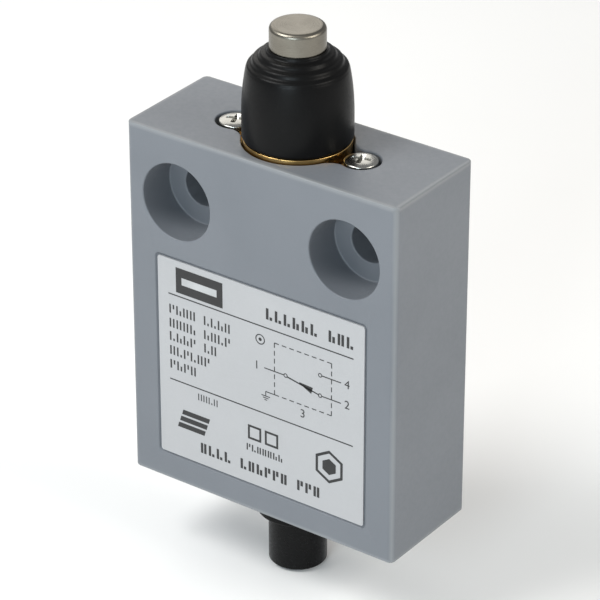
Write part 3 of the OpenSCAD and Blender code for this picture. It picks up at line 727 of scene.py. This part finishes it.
def screw_tree():
    """Puts a screw at each point of a grid that two steps lay out, with a random turn."""
    tree, given, result = new_tree("set_out_screws", [
        ("Screw", "Object"), ("Across", "Int"), ("Along", "Int"), ("First", "Vector"),
        ("Step across", "Vector"), ("Step along", "Vector"), ("Lean", "Vector")])
    link = tree.links.new
    row = tree.nodes.new("GeometryNodeMeshLine")
    link(given.outputs["Across"], row.inputs["Count"])
    link(given.outputs["First"], row.inputs["Start Location"])
    link(given.outputs["Step across"], row.inputs["Offset"])
    column = tree.nodes.new("GeometryNodeMeshLine")
    link(given.outputs["Along"], column.inputs["Count"])
    link(given.outputs["Step along"], column.inputs["Offset"])
    grid = tree.nodes.new("GeometryNodeInstanceOnPoints")
    link(row.outputs["Mesh"], grid.inputs["Points"])
    link(column.outputs["Mesh"], grid.inputs["Instance"])
    places = tree.nodes.new("GeometryNodeRealizeInstances")
    link(grid.outputs["Instances"], places.inputs["Geometry"])
    source = tree.nodes.new("GeometryNodeObjectInfo")
    link(given.outputs["Screw"], source.inputs["Object"])
    put = tree.nodes.new("GeometryNodeInstanceOnPoints")
    link(places.outputs["Geometry"], put.inputs["Points"])
    link(source.outputs["Geometry"], put.inputs["Instance"])
    link(given.outputs["Lean"], put.inputs["Rotation"])
    spin = tree.nodes.new("FunctionNodeRandomValue")
    spin.data_type = "FLOAT_VECTOR"
    spin.inputs["Seed"].default_value = 7
    limits = [s for s in spin.inputs if s.type == "VECTOR"]
    limits[0].default_value = (0, 0, 0)
    limits[1].default_value = (0, 0, math.radians(80))
    turn = tree.nodes.new("GeometryNodeRotateInstances")
    link(put.outputs["Instances"], turn.inputs["Instances"])
    link(next(s for s in spin.outputs if s.type == "VECTOR"), turn.inputs["Rotation"])
    return finish_tree(tree, given, result, turn.outputs["Instances"])


def from_tree(name, tree, values, material, sharp=35):
    """Runs a node tree once and returns its result as a plain mesh."""
    host = bpy.data.objects.new(name + "_host", bpy.data.meshes.new(name + "_host"))
    bpy.context.scene.collection.objects.link(host)
    modifier = host.modifiers.new("nodes", "NODES")
    modifier.node_group = tree
    sockets = {s.name: s.identifier for s in tree.interface.items_tree if s.in_out == "INPUT"}
    for label, value in {**values, "Material": material}.items():
        modifier[sockets[label]] = value
    graph = bpy.context.evaluated_depsgraph_get()
    mesh = bpy.data.meshes.new_from_object(host.evaluated_get(graph))
    bpy.data.objects.remove(host)
    mesh.name = name
    smooth(mesh, sharp)
    return mesh


print("tree helpers ready")


# %% Lay out the six screws
def lay_screws(node, screw, values):
    source = bpy.data.objects.new(screw.name + "_source", screw)
    bpy.context.scene.collection.objects.link(source)
    mesh = from_tree(node + "_laid", screws_out, {"Screw": source, **values}, plated_steel)
    bpy.data.objects.remove(source)
    return show(node + "_finished", mesh, plated_steel, "body", node)


screws_out = screw_tree()
flange_x = pan_high.x - pan_r * mm
pan_heads = lay_screws("flange_screws", pan_screw, {
    "Across": 2, "Along": 1, "First": (-flange_x, axis_y, pan_seat * mm),
    "Step across": (2 * flange_x, 0, 0), "Step along": (0, 0, 0), "Lean": (0, 0, 0)})
cover_low, cover_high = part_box("cover_screws")
flat_seat = cover_high.y - flat_h * mm
flat_heads = lay_screws("cover_screws", flat_screw, {
    "Across": 2, "Along": 2, "First": (cover_low.x + flat_r * mm, flat_seat, cover_low.z + flat_r * mm),
    "Step across": (cover_high.x - cover_low.x - 2 * flat_r * mm, 0, 0),
    "Step along": (0, 0, cover_high.z - cover_low.z - 2 * flat_r * mm),
    "Lean": (-math.pi / 2, 0, 0)})
print("screw pieces:", len(pan_heads.data.polygons), len(flat_heads.data.polygons), "faces")

# %% [markdown]
# ## Springs by Geometry Nodes
# A coil spring follows a rule: a spiral curve of so many turns, swept by a round wire. The tree needs only its
# radius, wire, height and turns. Both springs press between the body and the plunger.


# %% A node tree for a coil spring
def spring_tree():
    tree, given, result = new_tree("coil_spring", [
        ("Coil radius", "Float"), ("Wire radius", "Float"), ("Height", "Float"), ("Turns", "Float"),
        ("Foot", "Vector")])
    link = tree.links.new
    spiral = tree.nodes.new("GeometryNodeCurveSpiral")
    spiral.inputs["Resolution"].default_value = 32
    link(given.outputs["Turns"], spiral.inputs["Rotations"])
    link(given.outputs["Coil radius"], spiral.inputs["Start Radius"])
    link(given.outputs["Coil radius"], spiral.inputs["End Radius"])
    link(given.outputs["Height"], spiral.inputs["Height"])
    move = tree.nodes.new("GeometryNodeTransform")
    link(spiral.outputs["Curve"], move.inputs["Geometry"])
    link(given.outputs["Foot"], move.inputs["Translation"])
    wire = tree.nodes.new("GeometryNodeCurvePrimitiveCircle")
    wire.inputs["Resolution"].default_value = 12
    link(given.outputs["Wire radius"], wire.inputs["Radius"])
    sweep = tree.nodes.new("GeometryNodeCurveToMesh")
    sweep.inputs["Fill Caps"].default_value = True
    link(move.outputs["Geometry"], sweep.inputs["Curve"])
    link(wire.outputs["Curve"], sweep.inputs["Profile Curve"])
    return finish_tree(tree, given, result, sweep.outputs["Mesh"])


def lay_spring(node, wire_r, turns):
    low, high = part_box(node)
    coil_r = (high.x - low.x) / 2 - wire_r * mm
    mesh = from_tree(node + "_coiled", spring_wound, {
        "Coil radius": coil_r, "Wire radius": wire_r * mm, "Turns": float(turns),
        "Height": high.z - low.z - 2 * wire_r * mm, "Foot": (axis_x, axis_y, low.z + wire_r * mm)},
        spring_steel, sharp=60)
    spring = show(node + "_finished", mesh, spring_steel, None, node)
    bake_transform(spring)
    return spring


spring_wound = spring_tree()
for node, wire_r, turns in (("return_spring", 0.3, 5), ("overtravel_spring", 0.25, 8)):
    print(node, len(lay_spring(node, wire_r, turns).data.polygons), "faces")

# %% [markdown]
# ## The rating plate's print
# The plate is a foil label. Its ink is modelled as thin closed shapes that stand a hair proud of
# the foil, so it survives in any program that opens the mesh. The rows are plain marks instead of
# words, the badges are plain shapes, and the circuit shows what this switch does: a common
# contact that changes over from one fixed contact to the other. Only its terminal numbers read.

# %% Ink helpers
ink_front = plate_low.y - 0.015 * mm
ink_back = plate_low.y + 0.005 * mm
plate_x = (plate_low.x + plate_high.x) / 2
plate_z = (plate_low.z + plate_high.z) / 2


class Ink:
    """Gathers flat shapes on the plate, drawn in mm from its centre, into one thin mesh."""

    def __init__(self, lift=0.0):
        self.bm = bmesh.new()
        self.front = ink_front - lift * mm

    def shape(self, corners, hole=None):
        """A closed prism from (across, up) corners; a hole has as many corners as the outline."""
        loops = [corners] if hole is None else [corners, hole]
        layers = [[[self.bm.verts.new((plate_x + u * mm, y, plate_z + v * mm)) for u, v in loop]
                   for loop in loops] for y in (self.front, ink_back)]
        count = len(corners)
        if hole is None:
            for layer in layers:
                self.bm.faces.new(layer[0])
        for i in range(count):
            j = (i + 1) % count
            for k in range(len(loops)):
                self.bm.faces.new([layers[0][k][i], layers[0][k][j], layers[1][k][j], layers[1][k][i]])
            if hole is not None:
                for layer in layers:
                    self.bm.faces.new([layer[0][i], layer[0][j], layer[1][j], layer[1][i]])

    def bar(self, u0, v0, u1, v1):
        self.shape([(u0, v0), (u1, v0), (u1, v1), (u0, v1)])

    def line(self, u0, v0, u1, v1, width, end_width=None):
        """A straight stroke, which may taper to another width."""
        size = math.hypot(u1 - u0, v1 - v0)
        nu, nv = -(v1 - v0) / size / 2, (u1 - u0) / size / 2
        w0, w1 = width, end_width if end_width is not None else width
        self.shape([(u0 - nu * w0, v0 - nv * w0), (u1 - nu * w1, v1 - nv * w1),
                    (u1 + nu * w1, v1 + nv * w1), (u0 + nu * w0, v0 + nv * w0)])

    def ring(self, u, v, radius, width, sides=24, turn=0.0):
        """A round or many-sided frame of one width, or a solid where the width is the radius."""
        angles = [math.radians(turn) + 2 * math.pi * i / sides for i in range(sides)]
        outer = [(u + radius * math.cos(a), v + radius * math.sin(a)) for a in angles]
        inner = [(u + (radius - width) * math.cos(a), v + (radius - width) * math.sin(a)) for a in angles]
        self.shape(outer, inner if width < radius else None)

    def mesh(self, name):
        bmesh.ops.recalc_face_normals(self.bm, faces=self.bm.faces)
        mesh = bpy.data.meshes.new(name)
        self.bm.to_mesh(mesh)
        self.bm.free()
        return mesh


print("ink lies at", round(ink_front, 6))


# %% Rows of marks that stand for words
def mark_row(ink, left, middle, count, height, stroke, rng, breaks=()):
    """A row of paired upright bars; the second bar of a pair is whole, low, high or a dot."""
    pitch = height * 0.86
    spans = ((-0.5, 0.5), (-0.5, 0.05), (0.0, 0.5), (-0.5, -0.22))
    for i in range(count):
        if i in breaks:
            continue
        first = left + i * pitch
        second = first + height * 0.60 - stroke
        low, high = rng.choice(spans)
        ink.bar(first, middle - height / 2, first + stroke, middle + height / 2)
        ink.bar(second, middle + low * height, second + stroke, middle + high * height)


rng = random.Random(11)
ink = Ink()
mark_row(ink, 1.0, 11.1, 10, 1.55, 0.38, rng, breaks=(6,))
for middle, count in ((7.0, 9), (5.0, 9), (3.1, 7), (1.1, 6), (-0.9, 4)):
    mark_row(ink, -13.9, middle, count, 1.25, 0.23, rng, breaks=(4,) if count > 6 else ())
mark_row(ink, -9.6, -4.3, 4, 0.95, 0.15, rng)
mark_row(ink, -2.1, -8.8, 7, 0.95, 0.20, rng)
mark_row(ink, -9.3, -11.6, 15, 1.45, 0.36, rng, breaks=(4, 11))
ink.bar(-14, 9.02, 14, 9.18)
ink.bar(-14, -3.18, 14, -3.02)
ink.bar(-12.8, 9.6, -5.6, 13.1)
print("rows done, corners so far:", len(ink.bm.verts))

# %% [markdown]
# Three slanted bars, two squares and a hexagon are plain badges, and the black box at the top left
# carries a bare white bar.

# %% The badges
for row in range(3):
    base = -9.7 + row * 1.0
    ink.shape([(-12.9 + 0.35 * row, base), (-8.7 + 0.35 * row, base), (-8.5 + 0.35 * row, base + 0.7),
               (-12.7 + 0.35 * row, base + 0.7)])
for centre in (-0.85, 1.75):
    ink.ring(centre, -6.55, 1.45, 0.42, sides=4, turn=45)
ink.ring(10.5, -7.3, 2.35, 0.42, sides=6, turn=30)
ink.ring(10.5, -7.3, 1.15, 1.15, sides=6, turn=30)
print("badges done, corners so far:", len(ink.bm.verts))

# %% [markdown]
# The circuit is drawn as a wiring diagram is: a dashed box for the case, a ring for each contact,
# a tapered blade from the common contact to the one it rests on, and an earth sign.


# %% The circuit
thin_stroke = 0.13


def dashes(u0, v0, u1, v1, count):
    """A dashed stroke between two points."""
    for i in range(count):
        start, stop = i / (count - 0.4), (i + 0.6) / (count - 0.4)
        ink.line(u0 + (u1 - u0) * start, v0 + (v1 - v0) * start,
                 u0 + (u1 - u0) * stop, v0 + (v1 - v0) * stop, thin_stroke)


box_left, box_right, box_low, box_high = 2.25, 10.8, 0.1, 7.4
common, open_side, rest_side = (3.93, 3.4), (9.1, 5.2), (9.1, 2.35)
node_r = 0.30
for level in (box_low, box_high):
    dashes(box_left, level, box_right, level, 8)
for side in (box_left, box_right):
    dashes(side, box_low, side, box_high, 7)
for u, v in (common, open_side, rest_side):
    ink.ring(u, v, node_r, 0.12)
ink.line(0.7, common[1], common[0] - node_r, common[1], 0.14)
ink.line(open_side[0] + node_r, open_side[1], 12.2, open_side[1], 0.14)
ink.line(rest_side[0] + node_r, rest_side[1], 12.2, rest_side[1], 0.14)
ink.line(common[0] + 0.2, common[1] - 0.1, rest_side[0] - 0.2, rest_side[1] + 0.05, 0.20, 0.16)
ink.line(6.0, 3.1, 7.9, 2.6, 0.16, 0.95)
ink.ring(0.1, 7.2, 0.72, 0.14)
ink.ring(0.1, 7.2, 0.24, 0.24, sides=12)
ink.line(0.9, 0.1, box_left, 0.1, thin_stroke)
for step, arm in enumerate((0.65, 0.42, 0.20)):
    ink.line(0.9 - arm, -0.55 - 0.27 * step, 0.9 + arm, -0.55 - 0.27 * step, 0.12)
ink.line(0.9, 0.1, 0.9, -0.55, 0.12)
print("circuit done, corners so far:", len(ink.bm.verts))


# %% Terminal numbers and the pieces of print
def number(text, u, v, height):
    """A number on the plate, as a closed mesh with its place in the mesh."""
    curve = bpy.data.curves.new("number_" + text, "FONT")
    curve.body = text
    curve.size = height * mm / 0.7
    curve.extrude = (ink_back - ink_front) / 2
    curve.align_x = "CENTER"
    curve.align_y = "CENTER"
    host = bpy.data.objects.new("number_" + text, curve)
    bpy.context.scene.collection.objects.link(host)
    graph = bpy.context.evaluated_depsgraph_get()
    mesh = bpy.data.meshes.new_from_object(host.evaluated_get(graph))
    bpy.data.objects.remove(host)
    place = Vector((plate_x + u * mm, (ink_front + ink_back) / 2, plate_z + v * mm))
    mesh.transform(Matrix.Translation(place) @ Matrix.Rotation(math.pi / 2, 4, "X"))
    return mesh


for text, u, v in (("1", -0.45, 3.4), ("4", 13.1, 5.2), ("2", 13.1, 2.35), ("3", 6.5, -1.15)):
    ink.bm.from_mesh(number(text, u, v, 1.15))
bmesh.ops.remove_doubles(ink.bm, verts=ink.bm.verts, dist=1e-8)
print_piece = show("plate_print", ink.mesh("plate_print"), black_ink, "body", None)
badge = Ink(lift=0.006)
badge.bar(-11.9, 10.85, -6.5, 11.85)
show("plate_badge_print", badge.mesh("plate_badge_print"), white_ink, "body", None)
print("print:", len(print_piece.data.polygons), "faces")

# %% [markdown]
# ## Grommet, cable and cores
# The cable leaves through a rubber grommet. Its jacket is a vinyl tube with a slightly rounded
# cut, and four cores show in the cut end. Each core is stranded copper, and the strands in each
# cut end are set out by Geometry Nodes: one in the middle and a ring of six.

# %% Turn the grommet and the jacket
grommet_low, grommet_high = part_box("cable_grommet")
jacket_low, jacket_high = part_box("cable_jacket")
jacket_r = (jacket_high.x - jacket_low.x) / 2 / mm
jacket_wall = 1.2
hole_r = jacket_r + 0.02
flange_out = 5.3
flange_in = 5.6
neck_out = 4.6
inner_flange_h = 1.8
floor_low, floor_high = housing_low.z / mm, grommet_high.z / mm - inner_flange_h
grommet_bottom, grommet_top = grommet_low.z / mm, grommet_high.z / mm
grommet_outline = [(hole_r, grommet_bottom + 0.15), (hole_r + 0.15, grommet_bottom)]
grommet_outline += arc(flange_out - 0.4, grommet_bottom + 0.4, 0.4, -90, 0, 6)
grommet_outline += [(flange_out, floor_low - 0.1), (flange_out - 0.08, floor_low - 0.02),
                    (neck_out, floor_low - 0.02), (neck_out, floor_high + 0.02),
                    (flange_in - 0.1, floor_high + 0.02), (flange_in, floor_high + 0.12)]
grommet_outline += arc(flange_in - 0.4, grommet_top - 0.4, 0.4, 0, 90, 5)
grommet_outline += [(hole_r, grommet_top)]
grommet = show("cable_grommet_finished", turned("grommet_turned", grommet_outline, 112),
               grommet_rubber, "body", "cable_grommet")
end_z, top_z = jacket_low.z / mm, jacket_high.z / mm
jacket_outline = [(jacket_r - jacket_wall, end_z + 0.05), (jacket_r - jacket_wall + 0.06, end_z)]
jacket_outline += arc(jacket_r - 0.3, end_z + 0.3, 0.3, -90, 0, 6)
jacket_outline += [(jacket_r, top_z - 0.1), (jacket_r - 0.1, top_z), (jacket_r - jacket_wall, top_z)]
jacket = show("cable_jacket_finished", turned("jacket_turned", jacket_outline, 112), jacket_vinyl,
              "body", "cable_jacket")
print("grommet and jacket:", len(grommet.data.polygons), len(jacket.data.polygons), "faces")


# %% Copper strands in the cut ends
def strand_tree():
    """Puts a ring of strands and a middle one at each of a square of four cores."""
    tree, given, result = new_tree("cut_strands", [
        ("Core ring", "Float"), ("Strand ring", "Float"), ("Strand radius", "Float"), ("Length", "Float"),
        ("Centre", "Vector")])
    link = tree.links.new
    square = tree.nodes.new("GeometryNodeMeshCircle")
    square.inputs["Vertices"].default_value = 4
    link(given.outputs["Core ring"], square.inputs["Radius"])
    turn = tree.nodes.new("GeometryNodeTransform")
    turn.inputs["Rotation"].default_value = (0, 0, math.radians(45))
    link(square.outputs["Mesh"], turn.inputs["Geometry"])
    link(given.outputs["Centre"], turn.inputs["Translation"])
    ring = tree.nodes.new("GeometryNodeMeshCircle")
    ring.inputs["Vertices"].default_value = 6
    link(given.outputs["Strand ring"], ring.inputs["Radius"])
    middle = tree.nodes.new("GeometryNodeMeshLine")
    middle.inputs["Count"].default_value = 1
    both = tree.nodes.new("GeometryNodeJoinGeometry")
    link(ring.outputs["Mesh"], both.inputs["Geometry"])
    link(middle.outputs["Mesh"], both.inputs["Geometry"])
    strand = tree.nodes.new("GeometryNodeMeshCylinder")
    strand.inputs["Vertices"].default_value = 12
    link(given.outputs["Strand radius"], strand.inputs["Radius"])
    link(given.outputs["Length"], strand.inputs["Depth"])
    bundle = tree.nodes.new("GeometryNodeInstanceOnPoints")
    link(both.outputs["Geometry"], bundle.inputs["Points"])
    link(strand.outputs["Mesh"], bundle.inputs["Instance"])
    cores = tree.nodes.new("GeometryNodeInstanceOnPoints")
    link(turn.outputs["Geometry"], cores.inputs["Points"])
    link(bundle.outputs["Instances"], cores.inputs["Instance"])
    return finish_tree(tree, given, result, cores.outputs["Instances"])


core_ring = 1.252 * mm
strand_length = 0.3 * mm
strand_proud = 0.04 * mm
strands_mesh = from_tree("core_strands", strand_tree(), {
    "Core ring": core_ring, "Strand ring": 0.28 * mm, "Strand radius": 0.13 * mm,
    "Length": strand_length,
    "Centre": (axis_x, axis_y, jacket_low.z + strand_length / 2 - strand_proud)}, bare_copper)
strands = show("core_strands", strands_mesh, bare_copper, "body", None)
print("strands:", len(strands.data.polygons), "faces")

# %% [markdown]
# ## The pieces inside
# The basic switch, its terminals and contacts, the clamp and the ground lug are plain stampings
# and mouldings. Their CAD shapes only need a broken edge. The round and thin ones keep their CAD
# meshes, and get their finish by name.

# %% Finish the pieces inside
soft_inside = {
    "switch_base": (0.12, case_plastic), "switch_cover": (0.12, case_plastic),
    "com_terminal": (0.06, stamped_brass), "no_terminal": (0.06, stamped_brass),
    "nc_terminal": (0.06, stamped_brass), "contact_arm": (0.04, contact_bronze),
    "cable_clamp": (0.06, plated_steel), "cover_gasket": (0.05, seal_rubber),
}
for node, (edge, material) in soft_inside.items():
    softened(node, edge * mm, material)
plain_inside = {
    "rating_plate": silver_foil, "flange_gasket": seal_rubber, "plunger_seal": seal_rubber,
    "inner_plunger": turned_steel, "switch_button": button_plastic, "snap_spring": contact_bronze,
    "moving_contact": contact_silver, "no_contact": contact_silver, "nc_contact": contact_silver,
    "ground_lug": plated_steel, "ground_screw": plated_steel, **core_finish,
}
for node, material in plain_inside.items():
    mesh = frame["nodes"][node].data
    mesh.materials.clear()
    mesh.materials.append(material)
print("softened:", len(soft_inside), "kept:", len(plain_inside))

# %% [markdown]
# ## The floor
# A wide pale floor lies just under the cable's end. It is part of the stage and not of the object.

# %% Lay the floor
reach = 3.0
floor_gap = 0.3 * mm
floor_z = cad_box[0].z - floor_gap
floor_mesh = bpy.data.meshes.new("floor")
sides = ((-1, -1), (1, -1), (1, 1), (-1, 1))
corners = [(x * reach, y * reach, floor_z) for x, y in sides]
floor_mesh.from_pydata(corners, [], [(0, 1, 2, 3)])
floor = bpy.data.objects.new("floor", floor_mesh)
bpy.context.scene.collection.objects.link(floor)
floor_paint = Finish("pale_floor", (0.90, 0.90, 0.90), (0.92, 0.92, 0.92), (0.80, 0.90),
                     tone_size=60, grain_size=2, bump=1)
floor_mesh.materials.append(floor_paint.material)
print("floor at", round(floor_z, 4))
